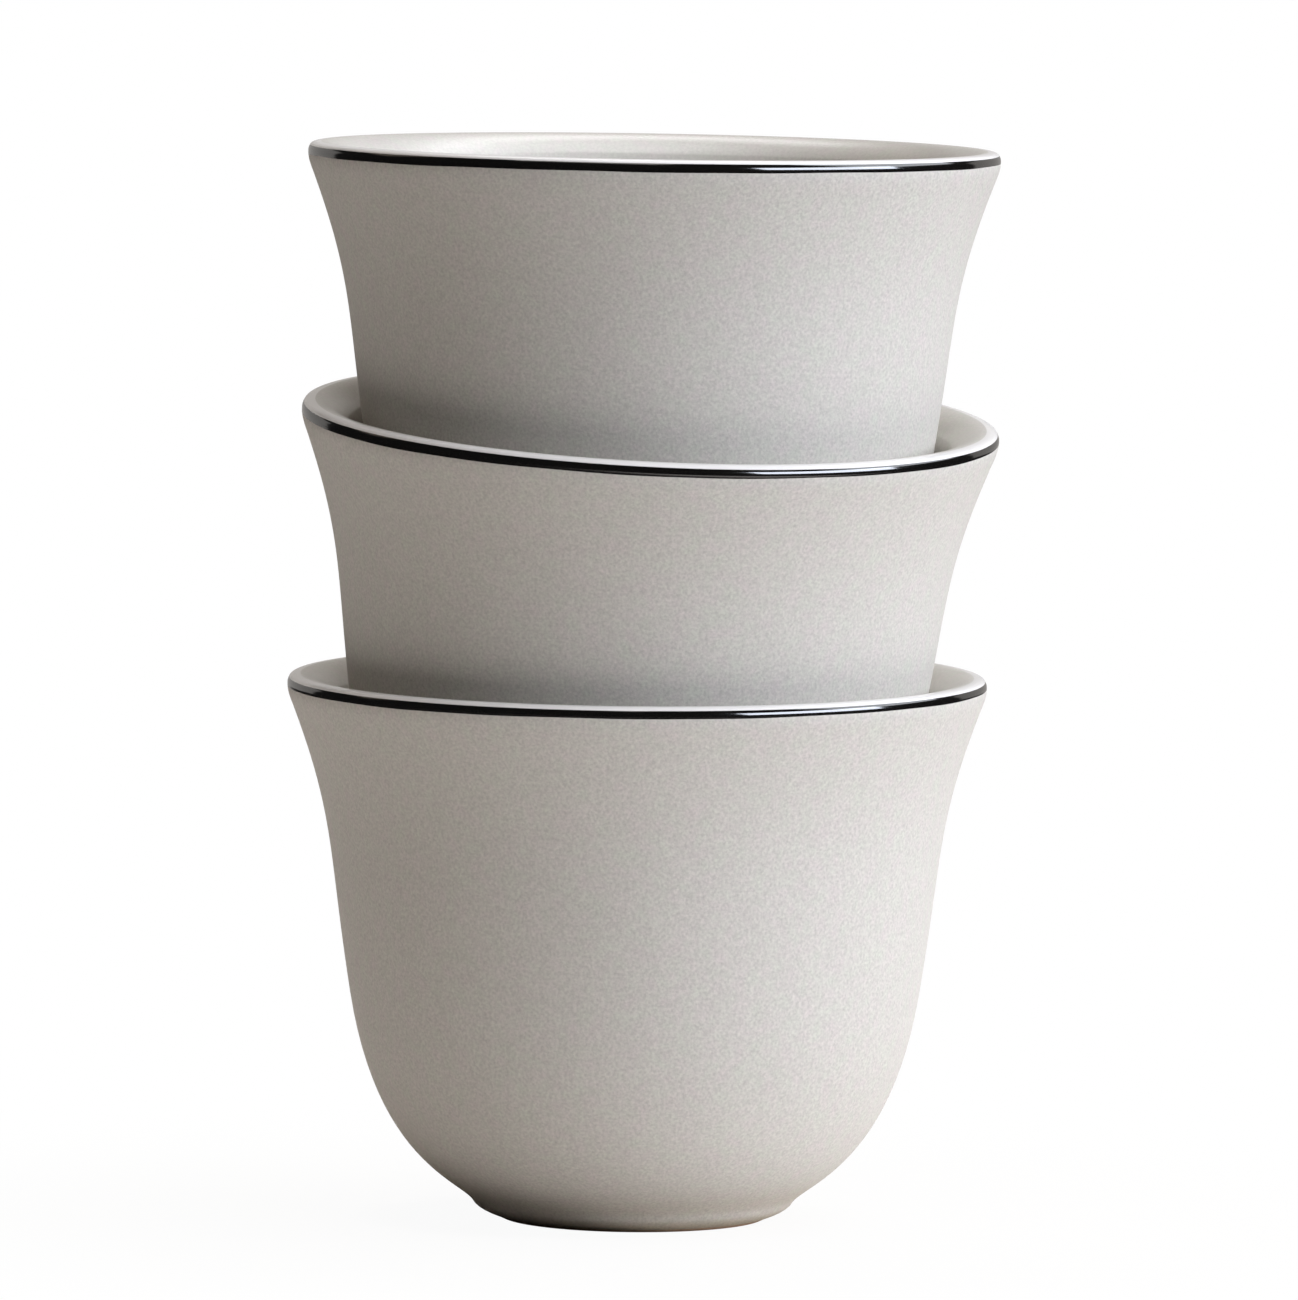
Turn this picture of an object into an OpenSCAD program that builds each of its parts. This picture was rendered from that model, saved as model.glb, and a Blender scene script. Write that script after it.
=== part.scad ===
// A stack of three handleless coffee cups, nested one in another.
// Each cup is a turned clay body with a matt glaze outside, a satin glaze inside
// and a black enamel band round its lip.

/* [Wall] */
// Radius of the cup at the lower edge of the rim band
rim_r = 32.65; // [32:0.05:34]
// Height of the lower edge of the rim band above the table
rim_h = 49.85; // [48:0.05:53]
// Radius of the wall at the waist
waist_r = 26.6; // [25:0.1:28]
// Height of the waist above the table
waist_h = 21.05; // [19:0.05:23]
// How far the wall widens at the waist for each millimetre of height
waist_flare_share = 0.162; // [0.1:0.005:0.22]
// How far the waist holds the curve below it, of the height down to the foot
belly_pull_share = 0.811; // [0.6:0.001:0.9]
// How far the waist holds the curve above it
throat_pull = 13.4; // [10:0.1:15]
// Height over which the wall flares out below its rounded rim
rim_flare_h = 10.6; // [9:0.1:14]
// Width of the flare below the rounded rim
rim_flare_w = 4; // [3:0.1:5]
// Height over which the flare rounds up into the rim band
rim_round_h = 2.1; // [1:0.1:3]
// Width over which the flare rounds up into the rim band
rim_round_w = 0.6; // [0.3:0.02:0.9]

/* [Foot] */
// Radius of the groove where the wall meets the foot
groove_r = 15.05; // [14.6:0.05:16]
// Height of the foot
foot_h = 1.65; // [1.3:0.05:2.2]
// Width by which the foot draws in below the groove to the ring that stands on the table
foot_draw_w = 3.4; // [2.4:0.05:4]
// Width of the ring that stands on the table
ring_w = 1.7; // [1.2:0.1:2.6]
// Depth of the hollow inside the ring
hollow_h = 1.2; // [0.8:0.1:1.6]
// Width of the slope between the ring and its hollow
hollow_slope_w = 0.9; // [0.5:0.1:1.4]

/* [Inside] */
// Thickness of the whole wall at the waist
waist_wall_t = 3.5; // [3:0.05:4.4]
// Height of the inside of the floor above the table
floor_h = 4.95; // [4.2:0.05:6]
// Width of the flare below the mouth, inside
mouth_flare_w = 3; // [2:0.02:3.4]
// Height of the flare below the mouth, inside
mouth_flare_h = 11.9; // [9:0.1:13]
// Width from the waist in to where the floor lets go of the curve that rises from it
floor_corner_w = 6.1; // [5:0.1:9]
// How far the inside of the waist holds the curve below it, of the height down to the floor
corner_pull_share = 0.776; // [0.6:0.001:0.9]

/* [Lip] */
// Height of the rim band
band_h = 0.7; // [0.5:0.05:1.2]
// How far the rim band narrows towards its upper edge
band_draw_w = 0.15; // [0:0.01:0.25]
// How far the rim band swells out between its edges
band_swell_w = 0.04; // [0.02:0.01:0.2]
// Height of the top of the lip above the rim band
lip_h = 0.34; // [0.26:0.02:0.7]
// Width of the lip from its top to the outer edge
lip_outer_w = 1.05; // [0.6:0.05:1.4]
// Width of the lip from its top to the mouth
lip_inner_w = 3.25; // [2.6:0.05:4]
// Depth of the rounding inside the lip
lip_inner_h = 1.9; // [1:0.05:2.4]

/* [Coats] */
// Thickness of the matt glaze outside
outer_glaze_t = 0.3; // [0.2:0.02:0.4]
// Thickness of the satin glaze inside
inner_glaze_t = 0.25; // [0.15:0.01:0.3]

/* [Stack] */
// Size of the middle cup against the bottom one
middle_size_share = 0.996; // [0.985:0.001:1.005]
// Size of the top cup against the bottom one
top_size_share = 0.988; // [0.98:0.001:1.005]
// Lean of the middle cup towards the front, in degrees
middle_lean_front = 3.67; // [2:0.05:4.5]
// Lean of the middle cup towards the right, in degrees
middle_lean_side = 2.36; // [0:0.05:3]
// Lean of the top cup towards the front, against the middle one, in degrees
top_lean_front = -4.9; // [-5:0.05:-2]
// Lean of the top cup towards the right, against the middle one, in degrees
top_lean_side = -1.89; // [-3:0.05:0]
// Place of the middle cup's foot to the right of the bottom cup's centre
middle_shift_x = -0.99; // [-1.4:0.01:-0.4]
// Place of the middle cup's foot behind the bottom cup's centre
middle_shift_y = 2.18; // [1.5:0.01:2.5]
// Place of the top cup's foot to the right of the middle cup's centre
top_shift_x = 0.74; // [0.3:0.02:1.2]
// Place of the top cup's foot behind the middle cup's centre
top_shift_y = -1.26; // [-1.6:0.01:-0.6]
// Clearance between two cups where one rests in the other
nest_gap = 0.15; // [0.1:0.01:0.3]

/* [Hidden] */
$fn = 96;

wall_steps = 14;
edge_steps = 5;
clay_colour = [0.72, 0.66, 0.58];
matt_colour = [0.68, 0.65, 0.62];
satin_colour = [0.87, 0.865, 0.85];
band_colour = [0.05, 0.05, 0.05];

// Points along a cubic curve from a to d that leaves towards b and arrives from c
function curve(a, b, c, d, steps) = [
    for (i = [0 : steps])
        let (t = i / steps, u = 1 - t)
            u * u * u * a + 3 * u * u * t * b + 3 * u * t * t * c + t * t * t * d
];

// A list of points without its first one
function rest(points) = [for (i = [1 : len(points) - 1]) points[i]];

function reversed(points) = [for (i = [len(points) - 1 : -1 : 0]) points[i]];

// The same line moved sideways by a depth, to its left as it is followed
function inset(points, depth) = [
    for (i = [0 : len(points) - 1])
        let (
            last = len(points) - 1,
            way = points[min(i + 1, last)] - points[max(i - 1, 0)],
            side = [-way[1], way[0]] / norm(way)
        )
            points[i] + depth * side
];

// Outer radius of the ring on the table, radius of the inside at the waist and radius of the mouth
ring_r = groove_r - foot_draw_w;
inside_waist_r = waist_r - waist_wall_t;
mouth_r = rim_r - band_draw_w - lip_outer_w - lip_inner_w;

// The foot's side, from the ring on the table up to the groove
foot_line = curve(
    [ring_r, 0],
    [ring_r + foot_draw_w / 20, 0],
    [groove_r - foot_draw_w * 3 / 20, foot_h / 3],
    [groove_r, foot_h],
    edge_steps
);

// The outside of the wall, from the groove to the lower edge of the rim band
belly_pull = belly_pull_share * (waist_h - foot_h);
belly_line = curve(
    [groove_r, foot_h],
    [groove_r + (waist_r - groove_r) / 8, foot_h + (waist_h - foot_h) / 10],
    [waist_r - waist_flare_share * belly_pull, waist_h - belly_pull],
    [waist_r, waist_h],
    wall_steps
);
throat_end = [rim_r - rim_round_w, rim_h - rim_round_h];
throat_line = curve(
    [waist_r, waist_h],
    [waist_r + waist_flare_share * throat_pull, waist_h + throat_pull],
    throat_end - [rim_flare_w, rim_flare_h],
    throat_end,
    wall_steps
);
round_line = curve(
    throat_end,
    throat_end + [rim_flare_w / rim_flare_h, 1] * rim_round_h / 3,
    [rim_r, rim_h - rim_round_h / 3],
    [rim_r, rim_h],
    edge_steps
);
glazed_foot_line = rest(rest(foot_line));
outer_line = concat(glazed_foot_line, rest(belly_line), rest(throat_line), rest(round_line));

// The rim band's outer face
band_top = [rim_r - band_draw_w, rim_h + band_h];
band_line = curve(
    [rim_r, rim_h],
    [rim_r + band_swell_w, rim_h + band_h / 3],
    [rim_r + band_swell_w, rim_h + band_h * 2 / 3],
    band_top,
    edge_steps
);

// The lip, from the upper edge of the rim band over its top and into the mouth
crest = [rim_r - band_draw_w - lip_outer_w, rim_h + band_h + lip_h];
mouth = [mouth_r, crest[1] - lip_inner_h];
lip_line = concat(
    curve(
        band_top,
        [band_top[0] - lip_outer_w / 12, band_top[1] + lip_h * 2 / 3],
        [crest[0] + lip_outer_w * 3 / 5, crest[1]],
        crest,
        edge_steps
    ),
    rest(curve(
        crest,
        [crest[0] - lip_inner_w * 3 / 10, crest[1]],
        [mouth_r + lip_inner_w / 5, mouth[1] + lip_inner_h * 11 / 20],
        mouth,
        edge_steps
    ))
);

// The inside, from the mouth down to the middle of the floor
inside_throat_line = curve(
    mouth,
    [mouth_r - mouth_flare_w, mouth[1] - mouth_flare_h],
    [inside_waist_r + waist_flare_share * throat_pull, waist_h + throat_pull],
    [inside_waist_r, waist_h],
    wall_steps
);
corner_pull = corner_pull_share * (waist_h - floor_h);
inside_belly_line = curve(
    [inside_waist_r, waist_h],
    [inside_waist_r - waist_flare_share * corner_pull, waist_h - corner_pull],
    [inside_waist_r - floor_corner_w, floor_h],
    [0, floor_h],
    wall_steps
);
inner_line = concat(lip_line, rest(inside_throat_line), rest(inside_belly_line));

// The clay under each coat
clay_outer_line = inset(outer_line, outer_glaze_t);
clay_inner_line = inset(inner_line, inner_glaze_t);
band_back_line = [clay_outer_line[len(clay_outer_line) - 1], clay_inner_line[0]];
clay_floor = [0, floor_h - inner_glaze_t];

// The underside, from the middle of the hollow out to the ring on the table
under_line = [
    [0, hollow_h],
    [ring_r - ring_w - hollow_slope_w, hollow_h],
    [ring_r - ring_w, 0],
    foot_line[0],
    foot_line[1],
    foot_line[2]
];

// Points that are narrower than all the points before them
function narrowing(points) = [
    for (i = [0 : len(points) - 1])
        if (i == 0 || points[i][0] < min([for (j = [0 : max(i - 1, 0)]) points[j][0]])) points[i]
];

// How wide the way in is at each height, from the middle of the floor up to the top of the lip
inside_rise = reversed(narrowing(concat(
    [[rim_r, crest[1]], crest], inside_throat_line, rest(inside_belly_line)
)));

// Directions around a cup at which its fit in the next one is measured
nest_angles = [0 : 5 : 355];

function leaned(p, front, side) =
    let (x = p[0] * cos(side) + p[2] * sin(side), z = p[2] * cos(side) - p[0] * sin(side))
        [x, p[1] * cos(front) - z * sin(front), p[1] * sin(front) + z * cos(front)];

// Height of a leaning cup's foot above the foot of the cup it rests in, both in the lower cup's frame
function nest_lift(front, side, shift_x, shift_y, size_share) = max([
    for (p = outer_line, angle = nest_angles)
        let (
            q = leaned(size_share * [p[0] * cos(angle), p[0] * sin(angle), p[1]], front, side),
            reach = norm([q[0] + shift_x, q[1] + shift_y]) + nest_gap
        )
            if (reach < rim_r) lookup(reach, inside_rise) - q[2]
]);

middle_lift = nest_lift(
    middle_lean_front, middle_lean_side, middle_shift_x, middle_shift_y, middle_size_share
);
top_lift = middle_size_share * nest_lift(
    top_lean_front, top_lean_side, top_shift_x / middle_size_share, top_shift_y / middle_size_share,
    top_size_share / middle_size_share
);

module turned(points, size_share) {
    rotate_extrude() polygon(size_share * points);
}

// The fired clay body, bare only on the ring that stands on the table
module cup_clay(size_share) {
    color(clay_colour)
        turned(concat(under_line, clay_outer_line, clay_inner_line), size_share);
}

// The matt coat on the foot and the outside of the wall
module cup_outer_glaze(size_share) {
    color(matt_colour)
        turned(concat(outer_line, reversed(clay_outer_line)), size_share);
}

// The enamel band round the outer edge of the lip
module cup_rim_band(size_share) {
    color(band_colour)
        turned(concat(band_line, reversed(band_back_line)), size_share);
}

// The satin coat over the lip and the inside
module cup_inner_glaze(size_share) {
    color(satin_colour)
        turned(concat(inner_line, reversed(clay_inner_line)), size_share);
}

// Places the middle cup in the bottom one
module in_bottom_cup() {
    translate([middle_shift_x, middle_shift_y, middle_lift])
        rotate([middle_lean_front, 0, 0])
            rotate([0, middle_lean_side, 0])
                children();
}

// Places the top cup in the middle one
module in_middle_cup() {
    in_bottom_cup()
        translate([top_shift_x, top_shift_y, top_lift])
            rotate([top_lean_front, 0, 0])
                rotate([0, top_lean_side, 0])
                    children();
}

module bottom_cup_clay() { cup_clay(1); }
module bottom_cup_outer_glaze() { cup_outer_glaze(1); }
module bottom_cup_rim_band() { cup_rim_band(1); }
module bottom_cup_inner_glaze() { cup_inner_glaze(1); }
module middle_cup_clay() { in_bottom_cup() cup_clay(middle_size_share); }
module middle_cup_outer_glaze() { in_bottom_cup() cup_outer_glaze(middle_size_share); }
module middle_cup_rim_band() { in_bottom_cup() cup_rim_band(middle_size_share); }
module middle_cup_inner_glaze() { in_bottom_cup() cup_inner_glaze(middle_size_share); }
module top_cup_clay() { in_middle_cup() cup_clay(top_size_share); }
module top_cup_outer_glaze() { in_middle_cup() cup_outer_glaze(top_size_share); }
module top_cup_rim_band() { in_middle_cup() cup_rim_band(top_size_share); }
module top_cup_inner_glaze() { in_middle_cup() cup_inner_glaze(top_size_share); }

bottom_cup_clay();
bottom_cup_outer_glaze();
bottom_cup_rim_band();
bottom_cup_inner_glaze();
middle_cup_clay();
middle_cup_outer_glaze();
middle_cup_rim_band();
middle_cup_inner_glaze();
top_cup_clay();
top_cup_outer_glaze();
top_cup_rim_band();
top_cup_inner_glaze();
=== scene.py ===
# Three small handleless coffee cups, nested in one stack: matt stone glaze outside, a satin one inside,
# and a black enamel band round each lip.
import math

import bmesh
import bpy
from mathutils import Matrix, Vector
from mathutils.geometry import interpolate_bezier


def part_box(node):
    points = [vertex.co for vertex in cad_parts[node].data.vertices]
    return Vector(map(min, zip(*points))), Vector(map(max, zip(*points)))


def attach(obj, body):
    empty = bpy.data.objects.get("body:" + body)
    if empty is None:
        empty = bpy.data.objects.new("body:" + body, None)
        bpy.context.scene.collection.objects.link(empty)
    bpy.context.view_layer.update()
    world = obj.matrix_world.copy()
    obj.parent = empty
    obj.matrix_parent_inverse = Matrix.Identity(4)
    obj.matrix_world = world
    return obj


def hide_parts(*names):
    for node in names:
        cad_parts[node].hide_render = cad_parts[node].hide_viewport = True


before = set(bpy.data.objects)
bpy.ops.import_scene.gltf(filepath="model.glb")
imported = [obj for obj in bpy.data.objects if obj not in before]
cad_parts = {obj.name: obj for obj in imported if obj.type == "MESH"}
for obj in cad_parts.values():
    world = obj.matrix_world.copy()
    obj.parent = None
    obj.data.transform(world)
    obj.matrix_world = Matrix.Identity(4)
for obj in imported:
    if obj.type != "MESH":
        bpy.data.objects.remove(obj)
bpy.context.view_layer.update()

# Camera
# The photograph was taken from far off with a long lens, a little above the stack, and it is turned
# clockwise by half a degree. The distances are measured from the middle of the bottom cup's foot.
IMAGE_W = 1298
FOCAL_PIXELS = 17000
CAMERA_BACK = 1.581
CAMERA_UP = 0.19565
CAMERA_DOWN = math.radians(5.147)
CAMERA_TURN = math.radians(-0.039)
CAMERA_ROLL = math.radians(-0.518)

camera = bpy.data.objects.new("camera", bpy.data.cameras.new("camera"))
camera.data.sensor_fit = "HORIZONTAL"
camera.data.lens = camera.data.sensor_width * FOCAL_PIXELS / IMAGE_W
camera.matrix_world = (
    Matrix.Translation((0, -CAMERA_BACK, CAMERA_UP))
    @ Matrix.Rotation(CAMERA_TURN, 4, "Z")
    @ Matrix.Rotation(-CAMERA_DOWN, 4, "X")
    @ Matrix.Rotation(CAMERA_ROLL, 4, "Y")
    @ Matrix.Rotation(math.pi / 2, 4, "X")
)
bpy.context.collection.objects.link(camera)
bpy.context.scene.camera = camera

# Clay bodies
# Each cup is turned from one piece of stoneware, wall, floor and foot ring together. It is left bare under
# the foot and on a thin edge round it, where the glaze was wiped off. The upper cups lean where they rest
# in the cups below them.
MM = 0.001
TURN_STEPS = 160
MERGE_MM = 0.001
SHARP_ANGLE = math.radians(40)
RING_R, RING_W, HOLLOW_H, HOLLOW_SLOPE_W = 11.65, 1.7, 1.2, 0.9
RING_EDGE_W, BARE_STEPS = 0.6, 4
GROOVE_R, FOOT_H = 15.05, 1.65
WAIST_R, WAIST_H, WAIST_FLARE_SHARE = 26.6, 21.05, 0.162
BELLY_PULL, THROAT_PULL = 15.73, 13.4
RIM_R, RIM_H, RIM_FLARE_W, RIM_FLARE_H = 32.65, 49.85, 4.0, 10.6
RIM_ROUND_W, RIM_ROUND_H = 0.6, 2.1
BAND_H, BAND_DRAW_W, BAND_SWELL_W = 0.7, 0.15, 0.04
LIP_H, LIP_OUTER_W, LIP_INNER_W, LIP_INNER_H = 0.34, 1.05, 3.25, 1.9
MOUTH_FLARE_W, MOUTH_FLARE_H = 3.0, 11.9
INSIDE_WAIST_R, CORNER_PULL = 23.1, 12.5
FLOOR_H, FLOOR_PULL = 4.95, 17
OUTER_GLAZE_T, INNER_GLAZE_T = 0.3, 0.25
CLAY_DARK, CLAY_LIGHT = (0.54, 0.385, 0.285), (0.68, 0.49, 0.37)
GROG_MM, GROG_DEPTH_MM = 0.5, 0.06


def curve(start, leave, arrive, end, steps):
    """Points along one cubic curve, each a radius and a height."""
    knots = [Vector((p[0], 0, p[1])) for p in (start, leave, arrive, end)]
    return [(p.x, p.z) for p in interpolate_bezier(*knots, steps + 1)]


def sunk(points, depth):
    """The same line moved to its left by a depth."""
    moved = []
    for i, (r, z) in enumerate(points):
        after, before = points[min(i + 1, len(points) - 1)], points[max(i - 1, 0)]
        along = Vector((after[0] - before[0], after[1] - before[1])).normalized()
        moved.append((max(r - depth * along.y, 0), z + depth * along.x))
    return moved


foot_line = curve(
    (RING_R, 0),
    (RING_R + (GROOVE_R - RING_R) / 20, 0),
    (GROOVE_R - (GROOVE_R - RING_R) * 3 / 20, FOOT_H / 3),
    (GROOVE_R, FOOT_H),
    steps=10,
)
belly_line = curve(
    (GROOVE_R, FOOT_H),
    (GROOVE_R + (WAIST_R - GROOVE_R) / 8, FOOT_H + (WAIST_H - FOOT_H) / 10),
    (WAIST_R - WAIST_FLARE_SHARE * BELLY_PULL, WAIST_H - BELLY_PULL),
    (WAIST_R, WAIST_H),
    steps=24,
)
throat_end = (RIM_R - RIM_ROUND_W, RIM_H - RIM_ROUND_H)
throat_line = curve(
    (WAIST_R, WAIST_H),
    (WAIST_R + WAIST_FLARE_SHARE * THROAT_PULL, WAIST_H + THROAT_PULL),
    (throat_end[0] - RIM_FLARE_W, throat_end[1] - RIM_FLARE_H),
    throat_end,
    steps=24,
)
round_line = curve(
    throat_end,
    (throat_end[0] + RIM_FLARE_W / RIM_FLARE_H * RIM_ROUND_H / 3, throat_end[1] + RIM_ROUND_H / 3),
    (RIM_R, RIM_H - RIM_ROUND_H / 3),
    (RIM_R, RIM_H),
    steps=8,
)
outer_line = foot_line[BARE_STEPS:] + belly_line[1:] + throat_line[1:] + round_line[1:]
band_top = (RIM_R - BAND_DRAW_W, RIM_H + BAND_H)
crest = (band_top[0] - LIP_OUTER_W, band_top[1] + LIP_H)
mouth = (crest[0] - LIP_INNER_W, crest[1] - LIP_INNER_H)
lip_line = curve(
    band_top,
    (band_top[0] - LIP_OUTER_W / 12, band_top[1] + LIP_H * 2 / 3),
    (crest[0] + LIP_OUTER_W * 3 / 5, crest[1]),
    crest,
    steps=12,
) + curve(
    crest,
    (crest[0] - LIP_INNER_W * 3 / 10, crest[1]),
    (mouth[0] + LIP_INNER_W / 5, mouth[1] + LIP_INNER_H * 11 / 20),
    mouth,
    steps=16,
)[1:]
inside_throat_line = curve(
    mouth,
    (mouth[0] - MOUTH_FLARE_W, mouth[1] - MOUTH_FLARE_H),
    (INSIDE_WAIST_R + WAIST_FLARE_SHARE * THROAT_PULL, WAIST_H + THROAT_PULL),
    (INSIDE_WAIST_R, WAIST_H),
    steps=24,
)
inside_belly_line = curve(
    (INSIDE_WAIST_R, WAIST_H),
    (INSIDE_WAIST_R - WAIST_FLARE_SHARE * CORNER_PULL, WAIST_H - CORNER_PULL),
    (FLOOR_PULL, FLOOR_H),
    (0, FLOOR_H),
    steps=24,
)
inner_line = lip_line + inside_throat_line[1:] + inside_belly_line[1:]
clay_outer_line = sunk(outer_line, OUTER_GLAZE_T)
clay_inner_line = sunk(inner_line, INNER_GLAZE_T)


def leaned(about_x, about_y):
    """A lean in degrees about the two level axes."""
    return Matrix.Rotation(math.radians(about_x), 4, "X") @ Matrix.Rotation(math.radians(about_y), 4, "Y")


# Each cup's share of the full size, and its lean.
CUPS = {
    "bottom_cup": (1.0, Matrix.Identity(4)),
    "middle_cup": (0.996, leaned(3.67, 2.36)),
    "top_cup": (0.988, leaned(3.67, 2.36) @ leaned(-4.9, -1.89)),
}


def foot_place(cup, size_share, lean):
    """Where the middle of a cup's foot is, from the corners of its clay in the frame."""
    low, high = (Vector(corner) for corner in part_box(cup + "_clay"))
    ring = RING_R * MM * size_share
    up = lean.to_3x3() @ Vector((0, 0, 1))
    foot_z = low.z + ring * math.hypot(up.x, up.y)
    rim = (RIM_H + BAND_H + LIP_H - INNER_GLAZE_T) * MM * size_share
    middle = (low + high) / 2
    return Vector((middle.x - up.x * rim, middle.y - up.y * rim, foot_z))


def turned(outline, cup, closed=True):
    """A bmesh spun round the upright axis from an outline of radii and heights, at a cup's own size."""
    size_share = CUPS[cup][0]
    bm = bmesh.new()
    verts = [bm.verts.new((r * MM * size_share, 0, z * MM * size_share)) for r, z in outline]
    pairs = list(zip(verts, verts[1:])) + ([(verts[-1], verts[0])] if closed else [])
    edges = [bm.edges.new(pair) for pair in pairs]
    bmesh.ops.spin(
        bm, geom=verts + edges, cent=(0, 0, 0), axis=(0, 0, 1), angle=math.tau,
        steps=TURN_STEPS, use_merge=True,
    )
    bmesh.ops.remove_doubles(bm, verts=bm.verts, dist=MERGE_MM * MM)
    bmesh.ops.recalc_face_normals(bm, faces=bm.faces)
    return bm


def set_down(name, bm, cup):
    """Makes a cup's bmesh an object that leans and stands where the cup does."""
    size_share, lean = CUPS[cup]
    place = Matrix.Translation(foot_place(cup, size_share, lean)) @ lean
    bmesh.ops.transform(bm, matrix=place, verts=bm.verts)
    for face in bm.faces:
        face.smooth = True
    mesh = bpy.data.meshes.new(name)
    bm.to_mesh(mesh)
    bm.free()
    mesh.set_sharp_from_angle(angle=SHARP_ANGLE)
    piece = bpy.data.objects.new(name, mesh)
    bpy.context.collection.objects.link(piece)
    return piece


class Shade:
    """A value in a material's node tree, for sums written as Python."""

    def __init__(self, tree, socket=None):
        self.tree, self.socket = tree, socket

    def node(self, kind, settings=None, **inputs):
        """A new node. Each input goes by its name, or by i_ and its number."""
        made = self.tree.nodes.new(kind)
        for key, value in (settings or {}).items():
            setattr(made, key, value)
        for key, value in inputs.items():
            target = made.inputs[int(key[2:]) if key.startswith("i_") else key.replace("_", " ")]
            if isinstance(value, Shade):
                self.tree.links.new(value.socket, target)
            else:
                target.default_value = value
        return made

    def out(self, made, name=0):
        """One of a node's outputs as a value."""
        return Shade(self.tree, made.outputs[name])

    def math(self, operation, other):
        """The value that one sum with another value or number gives."""
        return self.out(self.node("ShaderNodeMath", {"operation": operation}, i_0=self, i_1=other))

    def __add__(self, other):
        return self.math("ADD", other)

    def __mul__(self, other):
        return self.math("MULTIPLY", other)

    def __sub__(self, other):
        return self.math("SUBTRACT", other)


def material(name, roughness):
    """A new material, its surface shader, and its place on the piece."""
    made = bpy.data.materials.new(name)
    made.use_nodes = True
    shader = made.node_tree.nodes["Principled BSDF"]
    shader.inputs["Roughness"].default_value = roughness
    start = Shade(made.node_tree)
    place = start.out(start.node("ShaderNodeTexCoord"), "Object")
    return made, shader, place


def noise(place, size_mm, detail=2.0, rough=0.5):
    """Noise whose features are about a size in millimetres."""
    scale = 1 / (size_mm * MM)
    made = place.node("ShaderNodeTexNoise", Vector=place, Scale=scale, Detail=detail, Roughness=rough)
    return place.out(made)


def blend(factor, first, second):
    """A colour between two others, each written as three numbers or taken from an earlier node."""
    first, second = (c if isinstance(c, Shade) else (*c, 1) for c in (first, second))
    # A mix node has its colours in inputs 6 and 7 and in output 2.
    made = factor.node("ShaderNodeMix", {"data_type": "RGBA"}, i_0=factor, i_6=first, i_7=second)
    return factor.out(made, 2)


def coloured(shader, colour):
    """Gives a surface the colour that the nodes work out."""
    colour.tree.links.new(colour.socket, shader.inputs["Base Color"])


def bumped(shader, height, depth_mm):
    """Raises the surface by a height between 0 and 1."""
    made = height.node("ShaderNodeBump", Height=height, Distance=depth_mm * MM, Strength=1.0)
    height.tree.links.new(made.outputs[0], shader.inputs["Normal"])


under_line = [
    (0, HOLLOW_H),
    (RING_R - RING_W - HOLLOW_SLOPE_W, HOLLOW_H),
    (RING_R - RING_W, 0),
    (RING_R + RING_EDGE_W, 0),
    (RING_R + RING_EDGE_W * 3 / 2, foot_line[BARE_STEPS][1] / 2),
    foot_line[BARE_STEPS],
]
# The faces where clay and glaze meet are hidden, so they take only some of the points.
clay_line = under_line + clay_outer_line[::3] + clay_inner_line[::3] + [clay_inner_line[-1]]
clay, clay_shader, clay_place = material("fired_clay", roughness=0.85)
grog = noise(clay_place, GROG_MM, detail=4, rough=0.65)
coloured(clay_shader, blend(grog, CLAY_DARK, CLAY_LIGHT))
bumped(clay_shader, grog, GROG_DEPTH_MM)
for cup in CUPS:
    piece = set_down(cup + "_clay_body", turned(clay_line, cup, closed=False), cup)
    piece.data.materials.append(clay)
    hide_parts(cup + "_clay")
    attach(piece, cup)

# Outer glaze
# A matt stone glaze is sprayed on the outside, from just above the foot ring up to the rim band.
# It dries to a fine, even grain, like very smooth sandstone, with hardly any colour of its own.
STONE_DARK = (0.440, 0.420, 0.390)
STONE_PINK = (0.865, 0.785, 0.755)
STONE_GREEN = (0.815, 0.835, 0.725)
GRAIN_MM, GRAIN_DEPTH_MM = 0.28, 0.018
TINT_MM, TINT_SPREAD = 1.5, 2
BAND_LAP_W, BAND_LAP_H = 0.01, 0.12


def spread(value, by):
    """A share between 0 and 1 with its distance from a half multiplied."""
    return (value - 0.5) * by + 0.5


def stone(place, shader, grain_share):
    """Gives a glaze its stone colour, with the share of the full grain that it keeps."""
    grain = spread(noise(place, GRAIN_MM, rough=0.6), grain_share)
    tint = spread(noise(place, TINT_MM), TINT_SPREAD)
    coloured(shader, blend(grain, STONE_DARK, blend(tint, STONE_PINK, STONE_GREEN)))
    bumped(shader, grain, GRAIN_DEPTH_MM)


band_lap = (RIM_R - BAND_LAP_W, RIM_H + BAND_LAP_H)
matt_line = outer_line + [band_lap] + clay_outer_line[::-4] + [clay_outer_line[0]]
matt, matt_shader, matt_place = material("matt_glaze", roughness=0.62)
stone(matt_place, matt_shader, grain_share=1)
for cup in CUPS:
    piece = set_down(cup + "_matt_glaze", turned(matt_line, cup), cup)
    piece.data.materials.append(matt)
    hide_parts(cup + "_outer_glaze")
    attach(piece, cup)

# Inner glaze
# The same glaze, poured, is smoother inside. It runs over the rounded lip as far as the rim band. On the
# outer half of the lip it is glossier, and its colour there is painted whiter as a painted highlight.
# Painted highlight: the outer half of the lip is coloured whiter to stand in for its bright sheen.
LIP_HIGHLIGHT_COLOUR = (0.92, 0.895, 0.87, 1)

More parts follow.
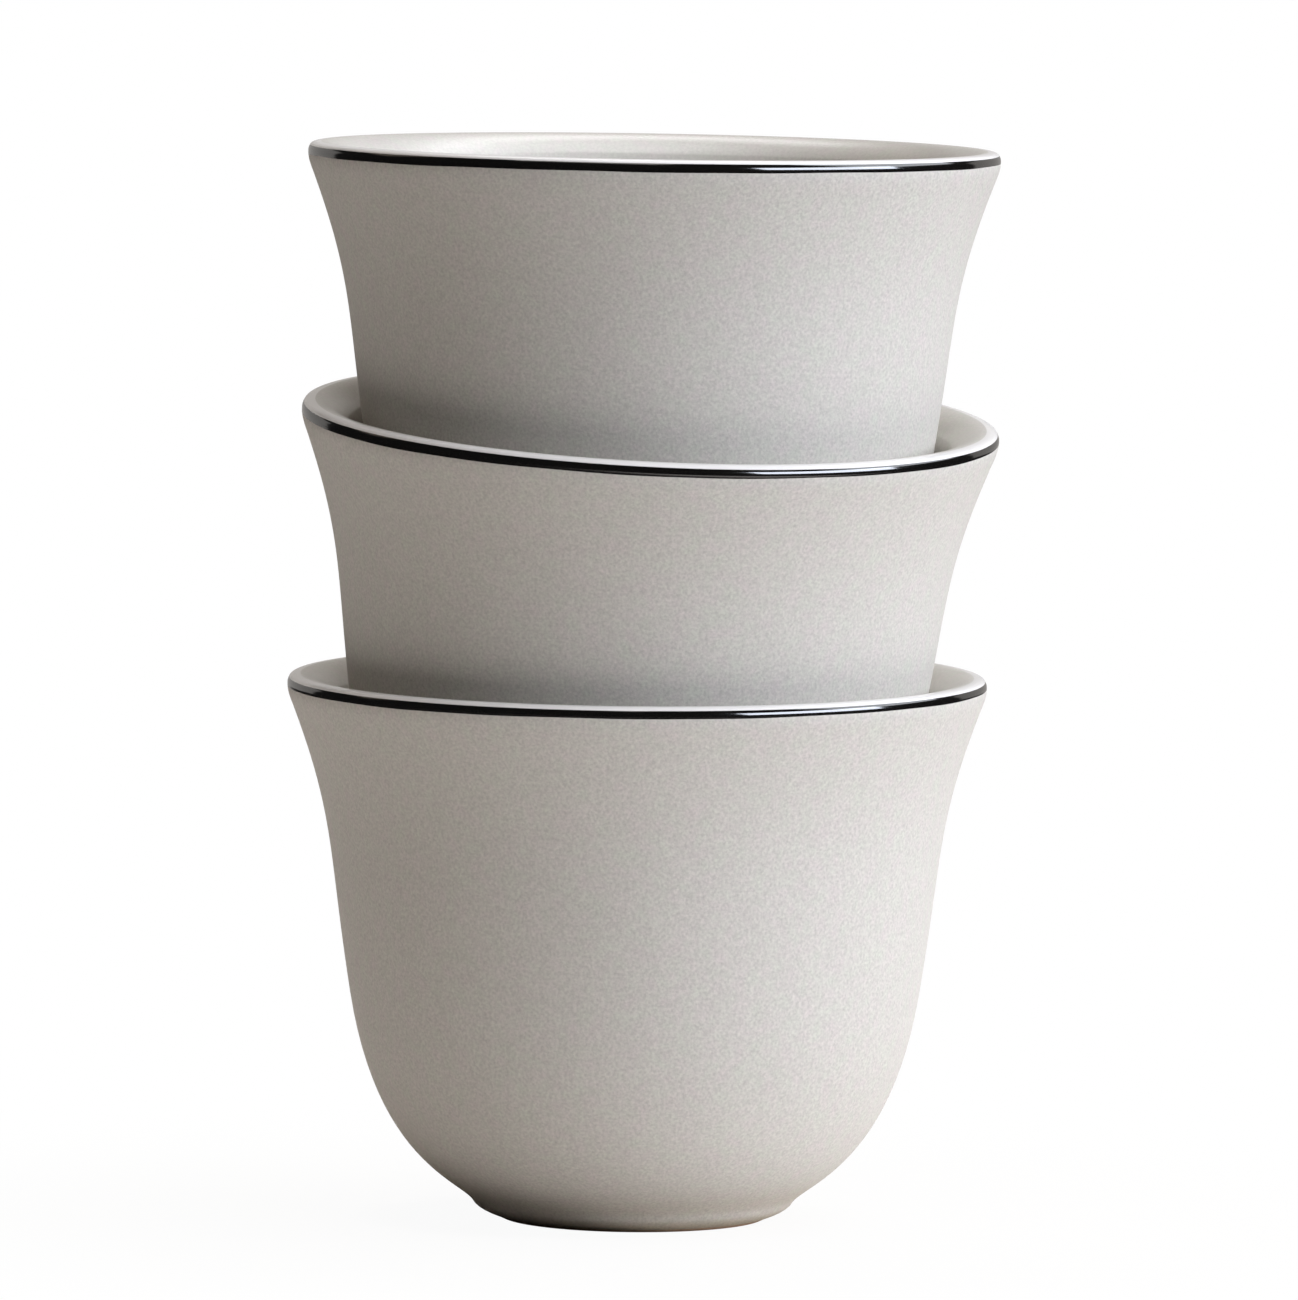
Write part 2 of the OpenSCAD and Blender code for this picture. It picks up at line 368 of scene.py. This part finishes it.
satin_line = inner_line + clay_inner_line[::-4]
satin, satin_shader, satin_place = material("satin_glaze", roughness=0.25)
stone(satin_place, satin_shader, grain_share=0.5)
lip_highlight, lip_highlight_shader, _ = material("lip_highlight_glaze", roughness=0.15)
lip_highlight_shader.inputs["Base Color"].default_value = LIP_HIGHLIGHT_COLOUR
for cup in CUPS:
    bm = turned(satin_line, cup, closed=False)
    crest_r = crest[0] * CUPS[cup][0] * MM
    for face in bm.faces:
        middle = face.calc_center_median()
        if math.hypot(middle.x, middle.y) > crest_r:
            face.material_index = 1
    piece = set_down(cup + "_satin_glaze", bm, cup)
    piece.data.materials.append(satin)
    piece.data.materials.append(lip_highlight)
    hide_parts(cup + "_inner_glaze")
    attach(piece, cup)

# Rim band
# Black gloss enamel is laid round the outer edge of the lip with a brush while the cup turns. It swells a
# little between its edges, and its lower edge wanders, more on some cups than on others.
ENAMEL_COLOUR = (0.004, 0.0035, 0.003, 1)
ENAMEL_IOR = 2.1
BAND_PROUD = 0.006
BAND_EDGE_W, BAND_EDGE_H = 0.1, 0.01
# How much lower each band reaches all round, and how much more at its heavy side.
BAND_EXTRA_H = {"bottom_cup": (0.0, 0.07), "middle_cup": (0.08, 0.1), "top_cup": (0.08, 0.06)}
BAND_HEAVY_SIDE = math.radians(-60)
RIPPLE_H, RIPPLES, RIPPLE_START = 0.02, 7, 10
FINE_RIPPLE_SHARE, FINE_RIPPLES, FINE_RIPPLE_START = 0.7, 17, 30

band_line = curve(
    (RIM_R, RIM_H),
    (RIM_R + BAND_SWELL_W * 3 / 4, RIM_H + BAND_H / 3),
    (RIM_R, RIM_H + BAND_H * 2 / 3),
    band_top,
    steps=12,
)
enamel, enamel_shader, _ = material("black_enamel", roughness=0.1)
enamel_shader.inputs["Base Color"].default_value = ENAMEL_COLOUR
enamel_shader.inputs["IOR"].default_value = ENAMEL_IOR
for cup, (even, heavy) in BAND_EXTRA_H.items():
    bm = turned(band_line + [clay_inner_line[0], clay_outer_line[-1]], cup)
    share = CUPS[cup][0] * MM
    for vert in bm.verts:
        radius, height = math.hypot(vert.co.x, vert.co.y) / share, vert.co.z / share
        if radius > RIM_R - BAND_EDGE_W and height < RIM_H + BAND_EDGE_H:
            turn = math.atan2(vert.co.x, -vert.co.y)
            ripple = math.sin(RIPPLES * turn + RIPPLE_START * even)
            fine_ripple = math.sin(FINE_RIPPLES * turn + FINE_RIPPLE_START * heavy)
            extra = even + heavy * math.cos(turn - BAND_HEAVY_SIDE)
            extra += RIPPLE_H * (ripple + FINE_RIPPLE_SHARE * fine_ripple)
            reach = (radius + BAND_PROUD) / radius
            vert.co = Vector((vert.co.x * reach, vert.co.y * reach, (height - extra) * share))
    piece = set_down(cup + "_enamel_band", bm, cup)
    piece.data.materials.append(enamel)
    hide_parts(cup + "_rim_band")
    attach(piece, cup)

# Floor and light
# The stack stands on a round pale table. Next to the foot the table is painted warm, a painted warm bounce,
# and left of the foot it is painted dark, painted shade where the stack's shadow falls. The camera sees the
# table as white but for the stack's own soft shadow. A soft key stands low on the right, with weaker lights
# over, behind and left of the stack, and a wide backdrop that shows in the ends of the bands.
TABLE_R = 0.3
# The warm ring is a painted warm bounce and the dark disc is painted shade where the stack's shadow falls.
# Both only tint the light that the table throws back onto the foot.
TABLE_COLOUR, PAINTED_BOUNCE_COLOUR, PAINTED_SHADE_COLOUR = (0.83, 0.775, 0.715), (0.76, 0.64, 0.49), (0.12, 0.08, 0.04)
PAINTED_BOUNCE_R, PAINTED_BOUNCE_FADE_R = 0.014, 0.022
PAINTED_SHADE_MIDDLE, PAINTED_SHADE_R, PAINTED_SHADE_FADE_R = (-0.009, -0.001, 0), 0.0125, 0.0185
SHADOW_SHARE, SHADOW_R, SHADOW_FADE_R = 0.05, 0.03, 0.1
SKY_LIGHT = 0.02
STACK_MIDDLE = Vector((0, 0, 0.05))

floor = bpy.data.objects.new("floor", bpy.data.meshes.new("floor"))
bm = bmesh.new()
bmesh.ops.create_circle(bm, cap_ends=True, segments=96, radius=TABLE_R)
bm.to_mesh(floor.data)
bm.free()
bpy.context.collection.objects.link(floor)
paper, paper_shader, paper_place = material("paper", roughness=1)


def beyond(middle, near_r, far_r):
    """A share that grows from 0 to 1 between two distances from a place on the table."""
    away = paper_place.node("ShaderNodeVectorMath", {"operation": "DISTANCE"}, i_0=paper_place, i_1=middle)
    away = paper_place.out(away, "Value")
    smooth = {"interpolation_type": "SMOOTHSTEP"}
    return away.out(away.node("ShaderNodeMapRange", smooth, i_0=away, i_1=near_r, i_2=far_r))


# Painted warm bounce next to the foot, then painted shade left of it.
ground = blend(beyond((0, 0, 0), PAINTED_BOUNCE_R, PAINTED_BOUNCE_FADE_R), PAINTED_BOUNCE_COLOUR, TABLE_COLOUR)
coloured(paper_shader, blend(beyond(PAINTED_SHADE_MIDDLE, PAINTED_SHADE_R, PAINTED_SHADE_FADE_R), PAINTED_SHADE_COLOUR, ground))
far = beyond((0, 0, 0), SHADOW_R, SHADOW_FADE_R)
seen = far.out(far.node("ShaderNodeLightPath"), "Is Camera Ray")
glow = seen.out(seen.node("ShaderNodeEmission", Color=(1, 1, 1, 1), Strength=1.0))
mixed = seen.node(
    "ShaderNodeMixShader",
    i_0=seen * (far * SHADOW_SHARE + (1 - SHADOW_SHARE)),
    i_1=Shade(paper.node_tree, paper_shader.outputs[0]),
    i_2=glow,
)
paper.node_tree.links.new(mixed.outputs[0], paper.node_tree.nodes["Material Output"].inputs["Surface"])
floor.data.materials.append(paper)

world = bpy.data.worlds.new("studio")
bpy.context.scene.world = world
world.use_nodes = True
background = world.node_tree.nodes["Background"]
background.inputs["Color"].default_value = (1, 1, 1, 1)
sky = Shade(world.node_tree)
sky = sky.out(sky.node("ShaderNodeLightPath"), "Is Camera Ray")
sky = sky * (1 - SKY_LIGHT) + SKY_LIGHT
world.node_tree.links.new(sky.socket, background.inputs["Strength"])


def softbox(name, azimuth, elevation, distance, width, height, power, colour):
    """A soft light that faces the stack. Azimuth 0 is the camera's side and 90 is the right, in degrees."""
    lamp = bpy.data.lights.new(name, "AREA")
    lamp.shape, lamp.size, lamp.size_y = "RECTANGLE", width, height
    lamp.energy, lamp.color = power, colour
    made = bpy.data.objects.new(name, lamp)
    a, e = math.radians(azimuth), math.radians(elevation)
    away = Vector((math.sin(a) * math.cos(e), -math.cos(a) * math.cos(e), math.sin(e)))
    made.location = STACK_MIDDLE + away * distance
    made.rotation_euler = away.to_track_quat("Z", "Y").to_euler()
    bpy.context.collection.objects.link(made)


softbox("key", 62, 18, 1.2, 1.15, 0.42, 12.6, (0.825, 0.88, 1.0))
softbox("right", 100, 40, 1.2, 1.0, 0.8, 6.4, (0.91, 0.94, 1.0))
softbox("overhead_right", 95, 78, 1.2, 0.9, 0.9, 4.3, (0.98, 0.98, 1.0))
softbox("overhead_left", -30, 75, 1.2, 0.9, 0.9, 3.4, (1.0, 0.955, 0.925))
softbox("back", 165, 52, 1.2, 1.0, 0.35, 3.1, (0.98, 0.985, 1.0))
softbox("left", -145, 50, 1.4, 2.0, 1.0, 2.4, (1.0, 0.86, 0.74))
softbox("backdrop", 180, 8, 1.2, 2.6, 0.6, 2.0, (1.0, 0.96, 0.92))

bpy.context.scene.view_settings.view_transform = "Standard"
